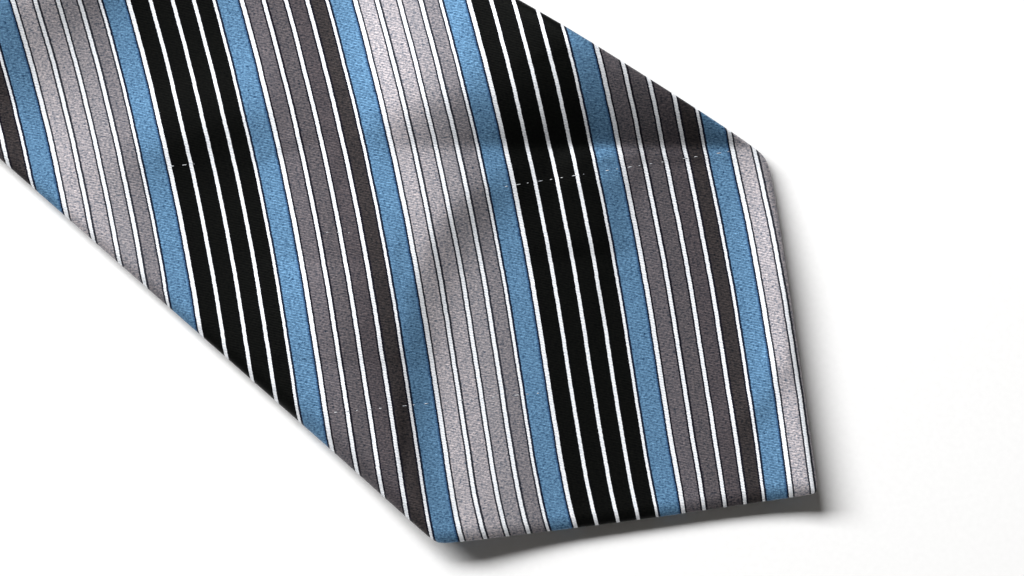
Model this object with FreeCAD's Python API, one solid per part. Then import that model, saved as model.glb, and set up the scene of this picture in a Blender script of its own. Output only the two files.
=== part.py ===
import FreeCAD, Part
import math
import os

# A necktie put away for display: the wide end of the blade lies flat and face up, and the
# rest is rolled up from the narrow tail, face outwards, into an upright roll behind it.
# Millimetres. +X points at the blade's tip, +Y across the tie, +Z up.
# "Along" is the distance from the blade's tip along the tie, "across" is the offset from
# its centre line, and "height" is the level within its thickness: 0 at the back, where it
# lies on the table, and THICKNESS at the face.

# ---- driving dimensions ---------------------------------------------------------------
LENGTH = 1478.0            # blade tip to tail tip
BLADE_WIDTH = 95.0         # at the corners of the blade's point
FRONT_NECK_WIDTH = 36.0    # where the blade is joined to the neck piece
REAR_NECK_WIDTH = 34.0     # where the neck piece is joined to the tail
TAIL_WIDTH = 48.0          # at the corners of the tail's point
SHOULDER_WIDTH = 55.0      # where the blade's quick taper gives way to a slower one
TIP_OFFSET = 1.9           # the blade's tip is a little off the centre line
CORNER_BACK = 48.0         # tip to the corners, along the tie
CORNER_SKEW = 3.6          # one corner lies this much further back, the other less
TAIL_CORNER_BACK = 24.0

THICKNESS = 3.0            # the whole pressed tie
PLY = 0.35                 # shell cloth
GAP = 0.05                 # between layers of one tie
LINING_CLOTH = 0.2         # tipping, labels
LINING_BACK = 0.6          # height of the tipping's outer side
TIPPING_INSET = 2.0        # from the tie's outline
THREAD = 0.3               # sewing thread, as thick as it is broad
SEAM_GAP = 0.6             # between the two back flaps, closed by the slip stitch

FLAT_LENGTH = 230.0        # tip to where the tie turns up
BEND_ALONG = 226.0         # tip to the line on which the flat end lifts
BEND_GAP = 0.4             # between the solids on either side of that line
FOOT_RADIUS = 12.0         # inside radius where the tie turns up from the table
PITCH = 3.9                # face to face between turns of the roll
HALF_TURNS = 15
FRONT_SEAM_TURN = 3        # half-turns from the roll's start to each joining seam
REAR_SEAM_TURN = 7

# ---- the roll's size follows from the length ------------------------------------------
foot_length = math.pi / 2 * (FOOT_RADIUS + THICKNESS / 2)


def rolled_length(radius):
    """Length taken up by the rise and the half-turns when the outer face radius is this."""
    rise = radius - PITCH / 2 - THICKNESS - FOOT_RADIUS
    turns = sum(math.pi * (radius - i * PITCH / 2 - THICKNESS / 2) for i in range(HALF_TURNS))
    return rise + turns


# rolled_length is linear in the radius, so two values give the radius for the length left
length_left = LENGTH - FLAT_LENGTH - foot_length
length_at_zero = rolled_length(0.0)
length_per_mm = rolled_length(1.0) - length_at_zero
roll_radius = (length_left - length_at_zero) / length_per_mm

total_x = FLAT_LENGTH + FOOT_RADIUS + 2 * roll_radius
tip_x = total_x / 2
foot_x = tip_x - FLAT_LENGTH
roll_x = foot_x - FOOT_RADIUS - roll_radius
roll_z = roll_radius - PITCH / 2
rise_length = roll_z - THICKNESS - FOOT_RADIUS


# ---- the path, as a list of runs ------------------------------------------------------
# Each run is a dict: its start and length along the tie, its kind, and for an arc its
# centre, the radius of the face, the start angle, the turn and whether the face is outside.
def make_path():
    runs = [{"kind": "flat", "start": 0.0, "length": FLAT_LENGTH}]
    at = FLAT_LENGTH
    runs.append({"kind": "arc", "start": at, "length": foot_length,
                 "centre": (foot_x, THICKNESS + FOOT_RADIUS), "radius": FOOT_RADIUS,
                 "angle": -math.pi / 2, "turn": -math.pi / 2, "face_out": False})
    at += foot_length
    runs.append({"kind": "rise", "start": at, "length": rise_length})
    at += rise_length
    for i in range(HALF_TURNS):
        radius = roll_radius - i * PITCH / 2
        centre_x = roll_x - (PITCH / 2 if i % 2 else 0.0)
        quarter = math.pi / 2 * (radius - THICKNESS / 2)
        for q in range(2):
            angle = math.pi * (i % 2) + math.pi / 2 * q
            runs.append({"kind": "arc", "start": at, "length": quarter,
                         "centre": (centre_x, roll_z), "radius": radius,
                         "angle": angle, "turn": math.pi / 2, "face_out": True})
            at += quarter
    return runs


PATH = make_path()
half_turn_starts = [run["start"] for run in PATH[3::2]]
shoulder_along = half_turn_starts[0]
front_seam_along = half_turn_starts[FRONT_SEAM_TURN]
rear_seam_along = half_turn_starts[REAR_SEAM_TURN]
corner_low = CORNER_BACK + CORNER_SKEW
corner_high = CORNER_BACK - CORNER_SKEW
tail_corner = LENGTH - TAIL_CORNER_BACK


def radius_at(run, height):
    inward = THICKNESS - height
    return run["radius"] - inward if run["face_out"] else run["radius"] + inward


def place(run, along, height):
    """X and Z of a point of the tie that lies in this run."""
    part = along - run["start"]
    if run["kind"] == "flat":
        return tip_x - along, height
    if run["kind"] == "rise":
        return roll_x + roll_radius - (THICKNESS - height), THICKNESS + FOOT_RADIUS + part
    angle = run["angle"] + run["turn"] * part / run["length"]
    radius = radius_at(run, height)
    return run["centre"][0] + radius * math.cos(angle), run["centre"][1] + radius * math.sin(angle)


# ---- the outline ----------------------------------------------------------------------
LOW_SIDE = [(corner_low, -BLADE_WIDTH / 2), (shoulder_along, -SHOULDER_WIDTH / 2),
            (front_seam_along, -FRONT_NECK_WIDTH / 2), (rear_seam_along, -REAR_NECK_WIDTH / 2),
            (tail_corner, -TAIL_WIDTH / 2)]
HIGH_SIDE = [(corner_high, BLADE_WIDTH / 2), (shoulder_along, SHOULDER_WIDTH / 2),
             (front_seam_along, FRONT_NECK_WIDTH / 2), (rear_seam_along, REAR_NECK_WIDTH / 2),
             (tail_corner, TAIL_WIDTH / 2)]


def along_line(points, along):
    """Linear interpolation, carried on straight past the last point on either side."""
    for (a0, v0), (a1, v1) in zip(points, points[1:]):
        if along <= a1:
            break
    return v0 + (v1 - v0) * (along - a0) / (a1 - a0)


def outline(inset):
    """Lower and upper edge as functions of the place along the tie, moved in by inset."""
    slant = inset * math.sqrt(2)

    def low(along):
        tip = TIP_OFFSET - along * (BLADE_WIDTH / 2 + TIP_OFFSET) / corner_low + slant
        tail = -(LENGTH - along) + slant
        return max(tip, along_line(LOW_SIDE, along) + inset, tail)

    def high(along):
        tip = TIP_OFFSET + along * (BLADE_WIDTH / 2 - TIP_OFFSET) / corner_high - slant
        tail = (LENGTH - along) - slant
        return min(tip, along_line(HIGH_SIDE, along) - inset, tail)

    return low, high


def band(half_width):
    """Edges of a strip of constant width on the centre line."""
    return (lambda along: -half_width), (lambda along: half_width)


def polyline(low_points, high_points):
    """Edges that run straight from point to point."""
    return (lambda along: along_line(low_points, along)), (lambda along: along_line(high_points, along))


# Places along the tie where a side face has a corner, so that it follows the outline.
TAIL_STEPS = 8             # straight steps that make the tail's point
STATIONS = sorted([corner_low, corner_high, shoulder_along, front_seam_along, rear_seam_along, tail_corner]
                  + [run["start"] + run["length"] * k / 3 for run in PATH for k in (1, 2)]
                  + [LENGTH - TAIL_CORNER_BACK * k / TAIL_STEPS for k in range(1, TAIL_STEPS)])
SIDE_REACH = 60.0          # further across than any edge of the tie
CUT_PAST = 1.0             # carries a cut past the face that it opens
KNOT_CLEAR = 0.2           # an outline point this near a piece's end is left out
END_REACH = 6.0            # carries a side face past the ends of its run
POINTED = 0.05             # a strip narrower than this has come to a point
NO_LENGTH = 1e-6           # a stretch shorter than this is left out


def polygon(points):
    return Part.Face(Part.makePolygon(points + points[:1]))


def run_profile(run, start, end, bottom, top):
    """The section in the XZ plane of one run between two places and two heights."""
    corners = [FreeCAD.Vector(x, -SIDE_REACH, z) for x, z in
               (place(run, start, bottom), place(run, end, bottom), place(run, end, top), place(run, start, top))]
    if run["kind"] != "arc":
        return polygon(corners)
    middle = (start + end) / 2
    middles = [FreeCAD.Vector(x, -SIDE_REACH, z) for x, z in
               (place(run, middle, bottom), place(run, middle, top))]
    edges = [Part.Arc(corners[0], middles[0], corners[1]).toShape(),
             Part.makeLine(corners[1], corners[2]),
             Part.Arc(corners[2], middles[1], corners[3]).toShape(),
             Part.makeLine(corners[3], corners[0])]
    return Part.Face(Part.Wire(edges))


def run_sides(run, start, end, edges, knots):
    """A tall prism whose two sides are the edges of the tie over this stretch."""
    low, high = edges
    inside = sorted(k for k in STATIONS + knots if start + KNOT_CLEAR < k < end - KNOT_CLEAR)
    places = [start] + inside + [end]
    upright = run["kind"] == "rise"
    index = 1 if upright else 0
    level = THICKNESS / 2
    rows = [(place(run, along, level)[index], low(along), high(along)) for along in places]
    reach = END_REACH if rows[-1][0] > rows[0][0] else -END_REACH
    if rows[0][2] - rows[0][1] > POINTED:
        rows.insert(0, (rows[0][0] - reach, rows[0][1], rows[0][2]))
    if rows[-1][2] - rows[-1][1] > POINTED:
        rows.append((rows[-1][0] + reach, rows[-1][1], rows[-1][2]))
    lows = [(a, v) for a, v, _ in rows]
    highs = [(a, w) for a, v, w in reversed(rows) if w - v > POINTED]
    if upright:
        points = [FreeCAD.Vector(-total_x, across, a) for a, across in lows + highs]
        return polygon(points).extrude(FreeCAD.Vector(2 * total_x, 0, 0))
    points = [FreeCAD.Vector(a, across, -total_x) for a, across in lows + highs]
    return polygon(points).extrude(FreeCAD.Vector(0, 0, 2 * total_x))


def ribbon(start, end, bottom, top, edges, knots=()):
    """A layer of the tie between two places, two heights and two edges, along the path."""
    solids = []
    for run in PATH:
        first = max(start, run["start"])
        last = min(end, run["start"] + run["length"])
        if last - first < NO_LENGTH:
            continue
        slab = run_profile(run, first, last, bottom, top).extrude(FreeCAD.Vector(0, 2 * SIDE_REACH, 0))
        solids.append(slab.common(run_sides(run, first, last, edges, list(knots))))
    if len(solids) == 1:
        return solids[0]
    return solids[0].multiFuse(solids[1:]).removeSplitter()


def patch(start, end, low, high, bottom, top):
    """A block on the flat blade."""
    corner = FreeCAD.Vector(tip_x - end, low, bottom)
    return Part.makeBox(end - start, high - low, top - bottom, corner)


def shell(start, end):
    """A tube of shell cloth, folded round the interlining and open along the back seam."""
    outside = ribbon(start, end, 0, THICKNESS, outline(0))
    inside = ribbon(max(start, PLY * math.sqrt(2)), min(end, LENGTH - PLY * math.sqrt(2)),
                    PLY, THICKNESS - PLY, outline(PLY))
    return outside.cut(inside)


def join(solids):
    return solids[0].multiFuse(solids[1:]).removeSplitter()


def write(node, shape):
    os.makedirs("parts", exist_ok=True)
    shape.exportStep("parts/" + node + ".step")
    box = shape.BoundBox
    print("%-24s solids %d valid %s volume %8.1f  x %7.2f %7.2f  y %6.2f %6.2f  z %6.2f %6.2f" % (
        node, len(shape.Solids), shape.isValid(), shape.Volume,
        box.XMin, box.XMax, box.YMin, box.YMax, box.ZMin, box.ZMax))


# ---- blade: the flat end --------------------------------------------------------------
HEM = 8.0                  # shell cloth turned to the back along the point
OPENING_APEX = 124.0       # tip to where the back flaps meet
OPENING_CORNER = 54.0      # tip to the opening's side corners
TIPPING_END = 134.0
TIPPING_CLEAR = 1.0        # past the tipping's end, where the interlining thickens
LOOP_ALONG = 150.0         # tip to the middle of the keeper loop
LOOP_BREADTH = 14.0
LOOP_SPAN = 46.0
LOOP_CLOTH = 0.4
LOOP_RECESS = 0.75         # the back ply gives this much under the loop
LOOP_FOOT = 3.0            # sewn end of the loop
LOOP_CLEAR = 1.0           # round the loop in its recess
BLADE_END = BEND_ALONG - BEND_GAP / 2
ROLL_START = BEND_ALONG + BEND_GAP / 2
LINING_TOP = LINING_BACK + LINING_CLOTH
PADDING_TOP = THICKNESS - PLY - GAP
EDGE_CLEAR = PLY + 2 * GAP


def blade_opening(inset):
    """Edges and knots of the kite-shaped opening between the hems and the back flaps."""
    tip = HEM * math.sqrt(2) + inset * math.sqrt(2)
    half = BLADE_WIDTH / 2 - HEM - inset
    apex = OPENING_APEX - 2 * inset
    low = [(tip, TIP_OFFSET), (OPENING_CORNER, -half), (apex, 0.0)]
    high = [(tip, TIP_OFFSET), (OPENING_CORNER, half), (apex, 0.0)]
    return tip, apex, polyline(low, high), [OPENING_CORNER]


def make_blade_shell():
    body = shell(0, BLADE_END)
    tip, apex, edges, knots = blade_opening(0)
    body = body.cut(ribbon(tip, apex, -CUT_PAST, PLY + GAP / 2, edges, knots))
    seam = ribbon(apex - CUT_PAST, BLADE_END + CUT_PAST, -CUT_PAST, PLY + GAP / 2, band(SEAM_GAP / 2))
    body = body.cut(seam)
    near = LOOP_ALONG - LOOP_BREADTH / 2 - LOOP_CLEAR
    far = LOOP_ALONG + LOOP_BREADTH / 2 + LOOP_CLEAR
    half = LOOP_SPAN / 2 + LOOP_CLEAR
    tray = patch(near - PLY, far + PLY, -half - PLY, half + PLY, 0, LOOP_RECESS + PLY)
    return body.fuse(tray).cut(patch(near, far, -half, half, -CUT_PAST, LOOP_RECESS)).removeSplitter()


def make_blade_interlining():
    edges = outline(EDGE_CLEAR)
    tip = EDGE_CLEAR * math.sqrt(2)
    step = TIPPING_END + TIPPING_CLEAR
    over_tipping = ribbon(tip, step, LINING_TOP + GAP, PADDING_TOP, edges)
    rest = ribbon(step, BLADE_END, PLY + GAP, PADDING_TOP, edges)
    reach = LOOP_BREADTH / 2 + LOOP_CLEAR + PLY + GAP
    half = LOOP_SPAN / 2 + LOOP_CLEAR + PLY + GAP
    room = patch(LOOP_ALONG - reach, LOOP_ALONG + reach, -half, half, 0, LOOP_RECESS + PLY + GAP)
    return join([over_tipping, rest]).cut(room)


def make_blade_tipping():
    tip = TIPPING_INSET * math.sqrt(2)
    return ribbon(tip, TIPPING_END, LINING_BACK, LINING_TOP, outline(TIPPING_INSET))


def make_keeper_loop():
    near = LOOP_ALONG - LOOP_BREADTH / 2
    far = LOOP_ALONG + LOOP_BREADTH / 2
    half = LOOP_SPAN / 2
    foot_top = LOOP_RECESS - GAP
    strap = patch(near, far, -half, half, 0, LOOP_CLOTH)
    low_foot = patch(near, far, -half, LOOP_FOOT - half, 0, foot_top)
    high_foot = patch(near, far, half - LOOP_FOOT, half, 0, foot_top)
    return join([strap, low_foot, high_foot])


STITCHES_PER_END = 5
STITCH_LENGTH = 2.0
STITCH_CLEAR = 0.1         # beside the piece that it holds


def end_stitches(middle, breadth, span, bottom):
    """A row of stitches along each of the two sewn ends of a loop or a label."""
    rows = []
    for side in (-1, 1):
        across = side * (span / 2 + STITCH_CLEAR + THREAD / 2)
        for k in range(STITCHES_PER_END):
            along = middle + (k - (STITCHES_PER_END - 1) / 2) * breadth / STITCHES_PER_END
            rows.append(patch(along - STITCH_LENGTH / 2, along + STITCH_LENGTH / 2,
                              across - THREAD / 2, across + THREAD / 2, bottom, bottom + THREAD))
    return Part.makeCompound(rows)


def make_loop_stitches():
    return end_stitches(LOOP_ALONG, LOOP_BREADTH, LOOP_SPAN, STITCH_CLEAR)


BRAND_ALONG = 72.0         # blank woven label on the tipping
BRAND_BREADTH = 15.0
BRAND_SPAN = 34.0
CARE_ALONG = 106.0         # stitched end of the care label
CARE_DROP = 22.0
CARE_SPAN = 11.0
LABEL_BACK = 0.1
CARE_STITCH_AT = 0.4       # past the label's sewn end
CARE_STITCH = 0.5
LABEL_TOP = LINING_BACK - GAP


def make_brand_label():
    return patch(BRAND_ALONG - BRAND_BREADTH / 2, BRAND_ALONG + BRAND_BREADTH / 2,
                 -BRAND_SPAN / 2, BRAND_SPAN / 2, 2 * LABEL_BACK, LABEL_TOP)


def make_brand_label_stitches():
    return end_stitches(BRAND_ALONG, BRAND_BREADTH, BRAND_SPAN, LABEL_TOP - THREAD)


def make_care_label():
    return patch(CARE_ALONG - CARE_DROP, CARE_ALONG, -CARE_SPAN / 2, CARE_SPAN / 2,
                 LABEL_BACK, LABEL_BACK + LINING_CLOTH)


def make_care_label_stitch():
    start = CARE_ALONG + CARE_STITCH_AT
    return patch(start, start + CARE_STITCH, -CARE_SPAN / 2, CARE_SPAN / 2, LABEL_BACK, LABEL_TOP)


BAR_TACK = 1.2             # length along the seam
BAR_TACK_AT = 0.2          # from the blade opening's apex
TAIL_BAR_TACK_AT = 1.6     # from the tail opening's apex, to the bar's near end
BAR_TACK_SUNK = 0.02
BAR_TACK_EDGES = band(SEAM_GAP / 2 - GAP)


def make_bar_tack(along):
    """A short dense row of thread across the seam, in the depth of the back ply."""
    return ribbon(along, along + BAR_TACK, BAR_TACK_SUNK, PLY - BAR_TACK_SUNK, BAR_TACK_EDGES)


HEM_STITCH_STEP = 6.0
HEM_STITCH = 1.6
HEM_STITCH_IN = 1.0        # from the hem's edge
HEM_STITCH_BACK = 0.2


def make_hem_stitches():
    """Felling stitches that hold the tipping to the turned hems of the point."""
    low, high = blade_opening(HEM_STITCH_IN)[2]
    start = HEM * math.sqrt(2)
    stitches = []
    for edge in (low, high):
        for k in range(1, int((OPENING_CORNER - start) / HEM_STITCH_STEP)):
            along = start + k * HEM_STITCH_STEP
            across = edge(along)
            stitches.append(patch(along - HEM_STITCH / 2, along + HEM_STITCH / 2, across - THREAD / 2,
                                  across + THREAD / 2, HEM_STITCH_BACK, HEM_STITCH_BACK + THREAD))
    return Part.makeCompound(stitches)


SEAM_THREAD = 0.4          # breadth of the slip stitch in the seam
SEAM_BARS = 1.6            # the bar tack's length along the seam, with room round it
LOOP_BESIDE = 1.0          # the slip stitch stops this far from the keeper loop's recess


def seam_thread(start, end):
    return ribbon(start, end, GAP, PLY - GAP, band(SEAM_THREAD / 2))


def make_blade_slip_stitch():
    near = LOOP_ALONG - LOOP_BREADTH / 2 - LOOP_CLEAR - LOOP_BESIDE
    far = LOOP_ALONG + LOOP_BREADTH / 2 + LOOP_CLEAR + LOOP_BESIDE
    return Part.makeCompound([seam_thread(OPENING_APEX + SEAM_BARS, near), seam_thread(far, BLADE_END)])


# ---- roll: the rest of the tie --------------------------------------------------------
SEAM_HALF = 0.25           # half the gap that a joining seam's thread fills
TAIL_HEM = 5.0
TAIL_APEX = 1400.0         # blade tip to where the tail's opening begins
TAIL_SIDE = 1448.0         # blade tip to that opening's side corners
TAIL_TIPPING_START = 1392.0
PADDING_END = LENGTH - 4.0
RESERVE_START = 1412.0     # the spare thread's loop
RESERVE_END = 1430.0
RESERVE_BREADTH = 4.0
RESERVE_THREAD = 0.6
RESERVE_BACK = 0.1
SLOT_PAST = 0.5            # a seam's slot and the tail's opening are cut this far past the back


def tail_opening(inset):
    tip = LENGTH - (TAIL_HEM + inset) * math.sqrt(2)
    half = TAIL_WIDTH / 2 - TAIL_HEM - inset
    apex = TAIL_APEX + 2 * inset
    low = [(apex, 0.0), (TAIL_SIDE, -half), (tip, 0.0)]
    high = [(apex, 0.0), (TAIL_SIDE, half), (tip, 0.0)]
    return apex, tip, polyline(low, high), [TAIL_SIDE]


def seam_slot(start, end):
    return ribbon(start, end, -SLOT_PAST, PLY + GAP / 2, band(SEAM_GAP / 2))


def make_rolled_blade_shell():
    end = front_seam_along - SEAM_HALF
    return shell(ROLL_START, end).cut(seam_slot(ROLL_START, end))


def make_neck_shell():
    start = front_seam_along + SEAM_HALF
    end = rear_seam_along - SEAM_HALF
    return shell(start, end).cut(seam_slot(start, end))


def make_tail_shell():
    start = rear_seam_along + SEAM_HALF
    body = shell(start, LENGTH).cut(seam_slot(start, TAIL_APEX + CUT_PAST))
    apex, tip, edges, knots = tail_opening(0)
    return body.cut(ribbon(apex, tip, -SLOT_PAST, PLY + GAP / 2, edges, knots))


def make_rolled_interlining():
    return ribbon(ROLL_START, rear_seam_along - SEAM_HALF, PLY + GAP, PADDING_TOP, outline(EDGE_CLEAR))


def make_tail_interlining():
    """Butted against the front interlining where the tail begins."""
    edges = outline(EDGE_CLEAR)
    start = rear_seam_along + SEAM_HALF
    step = TAIL_TIPPING_START - TIPPING_CLEAR
    main = ribbon(start, step, PLY + GAP, PADDING_TOP, edges)
    over_tipping = ribbon(step, PADDING_END, LINING_TOP + GAP, PADDING_TOP, edges)
    return join([main, over_tipping])


def make_tail_tipping():
    tip = LENGTH - TIPPING_INSET * math.sqrt(2)
    return ribbon(TAIL_TIPPING_START, tip, LINING_BACK, LINING_TOP, outline(TIPPING_INSET))


def make_rolled_slip_stitch():
    return seam_thread(ROLL_START, TAIL_APEX - SEAM_BARS - SEAM_THREAD)


def make_joining_seam(along):
    """The thread of a seam that joins two lengths of shell, through the face ply."""
    half = SEAM_HALF - GAP
    return ribbon(along - half, along + half, THICKNESS - PLY, THICKNESS, outline(EDGE_CLEAR))


def make_reserve_loop():
    """The slip stitch's spare thread, left as a small flat loop inside the tail's opening."""
    outer = ribbon(RESERVE_START, RESERVE_END, RESERVE_BACK, PLY, band(RESERVE_BREADTH / 2))
    inner = ribbon(RESERVE_START + RESERVE_THREAD, RESERVE_END - RESERVE_THREAD, 0.0, PLY + GAP,
                   band(RESERVE_BREADTH / 2 - RESERVE_THREAD))
    return outer.cut(inner)


NODES = {
    "blade_shell": make_blade_shell(),
    "blade_interlining": make_blade_interlining(),
    "blade_tipping": make_blade_tipping(),
    "keeper_loop": make_keeper_loop(),
    "keeper_loop_stitches": make_loop_stitches(),
    "brand_label": make_brand_label(),
    "brand_label_stitches": make_brand_label_stitches(),
    "care_label": make_care_label(),
    "care_label_stitch": make_care_label_stitch(),
    "blade_bar_tack": make_bar_tack(OPENING_APEX + BAR_TACK_AT),
    "blade_hem_stitches": make_hem_stitches(),
    "blade_slip_stitch": make_blade_slip_stitch(),
    "rolled_blade_shell": make_rolled_blade_shell(),
    "neck_shell": make_neck_shell(),
    "tail_shell": make_tail_shell(),
    "rolled_interlining": make_rolled_interlining(),
    "tail_interlining": make_tail_interlining(),
    "tail_tipping": make_tail_tipping(),
    "tail_bar_tack": make_bar_tack(TAIL_APEX - TAIL_BAR_TACK_AT),
    "rolled_slip_stitch": make_rolled_slip_stitch(),
    "front_joining_seam": make_joining_seam(front_seam_along),
    "rear_joining_seam": make_joining_seam(rear_seam_along),
    "slip_stitch_reserve_loop": make_reserve_loop(),
}

for node, shape in NODES.items():
    write(node, shape)

print("roll radius %.2f, tip x %.2f, foot x %.2f, roll x %.2f z %.2f, bend x %.2f" % (
    roll_radius, tip_x, foot_x, roll_x, roll_z, tip_x - BEND_ALONG))
print("shoulder %.1f, front seam %.1f, rear seam %.1f" % (shoulder_along, front_seam_along, rear_seam_along))
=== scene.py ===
"""A striped necktie: the wide end lies flat and face up, the rest is rolled up behind it.

Lengths are in millimetres until a vertex is made. Every layer of the tie is drawn flat
first. "Along" is the distance from the blade's tip, "across" the offset from the centre
line, and "height" the level in the tie's thickness, 0 at its back.
"""
import math

import bmesh
import bpy
import numpy as np
from mathutils import Matrix, Vector


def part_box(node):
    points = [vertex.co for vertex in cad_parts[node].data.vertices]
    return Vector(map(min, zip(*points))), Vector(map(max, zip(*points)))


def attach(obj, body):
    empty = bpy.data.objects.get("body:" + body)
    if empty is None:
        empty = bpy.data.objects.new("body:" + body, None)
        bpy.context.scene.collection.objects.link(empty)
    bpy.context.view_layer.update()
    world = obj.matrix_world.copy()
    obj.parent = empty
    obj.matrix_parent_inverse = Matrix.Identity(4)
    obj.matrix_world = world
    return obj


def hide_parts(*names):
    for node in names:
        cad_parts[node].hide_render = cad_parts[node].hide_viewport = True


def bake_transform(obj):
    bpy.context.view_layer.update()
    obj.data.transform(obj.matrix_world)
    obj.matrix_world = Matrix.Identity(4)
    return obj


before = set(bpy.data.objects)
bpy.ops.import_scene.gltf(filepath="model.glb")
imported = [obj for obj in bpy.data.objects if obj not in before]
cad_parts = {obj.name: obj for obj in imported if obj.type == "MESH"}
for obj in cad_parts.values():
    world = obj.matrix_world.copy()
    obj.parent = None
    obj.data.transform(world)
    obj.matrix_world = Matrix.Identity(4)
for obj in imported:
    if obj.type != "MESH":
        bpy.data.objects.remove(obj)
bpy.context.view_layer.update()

MM = 0.001

# ---- driving dimensions, the same as the model's ---------------------------------------
LENGTH = 1478.0
BLADE_WIDTH = 95.0
SHOULDER_WIDTH = 55.0
FRONT_NECK_WIDTH = 36.0
REAR_NECK_WIDTH = 34.0
TAIL_WIDTH = 48.0
TIP_OFFSET = 1.9
CORNER_BACK = 48.0
CORNER_SKEW = 3.6
TAIL_CORNER_BACK = 24.0
THICKNESS = 3.0
FLAT_LENGTH = 230.0
FOOT_RADIUS = 12.0
PITCH = 3.9
HALF_TURNS = 15
FRONT_SEAM_TURN = 3
REAR_SEAM_TURN = 7

TIP_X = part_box("blade_shell")[1][0] / MM
ROLL_RADIUS = (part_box("rolled_blade_shell")[1][2] / MM + PITCH / 2) / 2
FOOT_X = TIP_X - FLAT_LENGTH
ROLL_X = FOOT_X - FOOT_RADIUS - ROLL_RADIUS
ROLL_Z = ROLL_RADIUS - PITCH / 2


# ---- the path that the tie follows ------------------------------------------------------
def make_path():
    """Runs of (start, length, kind, centre x, centre z, radius of the back, angle, turn)."""
    foot = math.pi / 2 * (FOOT_RADIUS + THICKNESS / 2)
    rise = ROLL_Z - THICKNESS - FOOT_RADIUS
    foot_z = THICKNESS + FOOT_RADIUS
    rise_x = ROLL_X + ROLL_RADIUS - THICKNESS
    runs = [(0.0, FLAT_LENGTH, "flat", 0, 0, 0, 0, 0)]
    runs.append((FLAT_LENGTH, foot, "foot", FOOT_X, foot_z, foot_z, -math.pi / 2, -math.pi / 2))
    at = FLAT_LENGTH + foot
    runs.append((at, rise, "rise", rise_x, foot_z, 0, 0, 0))
    at += rise
    for i in range(HALF_TURNS):
        radius = ROLL_RADIUS - i * PITCH / 2
        span = math.pi * (radius - THICKNESS / 2)
        centre = ROLL_X - (PITCH / 2 if i % 2 else 0.0)
        runs.append((at, span, "turn", centre, ROLL_Z, radius - THICKNESS, math.pi * (i % 2), math.pi))
        at += span
    return runs


PATH = make_path()
SHOULDER = PATH[3][0]
FRONT_SEAM = PATH[3 + FRONT_SEAM_TURN][0]
REAR_SEAM = PATH[3 + REAR_SEAM_TURN][0]


def base_and_normal(along):
    """Where the tie's back lies at each place, and which way its face is, in XZ."""
    along = np.clip(along, 0.0, LENGTH)
    x, z = TIP_X - along, np.zeros_like(along)
    nx, nz = np.zeros_like(along), np.ones_like(along)
    for start, length, kind, cx, cz, radius, angle, turn in PATH[1:]:
        here = along >= start
        if kind == "rise":
            x = np.where(here, cx, x)
            z = np.where(here, cz + along - start, z)
            nx, nz = np.where(here, 1.0, nx), np.where(here, 0.0, nz)
            continue
        a = angle + turn * (along - start) / length
        side = -1.0 if kind == "foot" else 1.0
        x = np.where(here, cx + radius * np.cos(a), x)
        z = np.where(here, cz + radius * np.sin(a), z)
        nx = np.where(here, side * np.cos(a), nx)
        nz = np.where(here, side * np.sin(a), nz)
    return x, z, nx, nz


# ---- outline ------------------------------------------------------------------------------
CORNER_LOW = CORNER_BACK + CORNER_SKEW
CORNER_HIGH = CORNER_BACK - CORNER_SKEW
TAIL_CORNER = LENGTH - TAIL_CORNER_BACK
TIP_ROUND = 0.7
LOW_BULGE = 0.8            # the point's low side is a little full
LOW_CORNER_ROUND = 0.9
HIGH_CORNER_ROUND = 2.2
TAIL_ROUND = 1.0
SLOPE_STEP = 0.05          # over which the outline's slope is taken
SIDE_STATIONS = [SHOULDER, FRONT_SEAM, REAR_SEAM, TAIL_CORNER]
SIDE_WIDTHS = [SHOULDER_WIDTH / 2, FRONT_NECK_WIDTH / 2, REAR_NECK_WIDTH / 2, TAIL_WIDTH / 2]


def soft_min(a, b, rounding):
    """The smaller of two values, rounded where they cross."""
    return (a + b - np.sqrt((a - b) ** 2 + rounding ** 2)) / 2


def side_width(along, corner):
    """Half the width along a long side, carried on straight in front of the corner."""
    front_slope = (SIDE_WIDTHS[0] - BLADE_WIDTH / 2) / (SHOULDER - corner)
    width = np.interp(along, SIDE_STATIONS, SIDE_WIDTHS)
    return np.where(along < SHOULDER, BLADE_WIDTH / 2 + front_slope * (along - corner), width)


def point_width(along, slope):
    """Half the width at the blade's point, whose very tip is rounded."""
    return slope * np.sqrt(np.maximum(along ** 2 - TIP_ROUND ** 2, 0.0))


def low_edge(along):
    point = point_width(along, (BLADE_WIDTH / 2 + TIP_OFFSET) / CORNER_LOW) - TIP_OFFSET
    point = point + LOW_BULGE * np.sin(np.pi * np.clip(along / CORNER_LOW, 0.0, 1.0))
    side = side_width(along, CORNER_LOW)
    tail = np.maximum(LENGTH - along, 0.0)
    return -soft_min(soft_min(point, side, LOW_CORNER_ROUND), tail, TAIL_ROUND)


def high_edge(along):
    point = point_width(along, (BLADE_WIDTH / 2 - TIP_OFFSET) / CORNER_HIGH) + TIP_OFFSET
    side = side_width(along, CORNER_HIGH)
    tail = np.maximum(LENGTH - along, 0.0)
    return soft_min(soft_min(point, side, HIGH_CORNER_ROUND), tail, TAIL_ROUND)


def edge_distance(along, across):
    """About how far a point lies inside the outline, square to the nearest edge."""
    low_slope = (low_edge(along + SLOPE_STEP) - low_edge(along)) / SLOPE_STEP
    high_slope = (high_edge(along + SLOPE_STEP) - high_edge(along)) / SLOPE_STEP
    from_low = (across - low_edge(along)) / np.sqrt(1 + low_slope ** 2)
    from_high = (high_edge(along) - across) / np.sqrt(1 + high_slope ** 2)
    return np.maximum(from_low, 0.0), np.maximum(from_high, 0.0)


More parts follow.
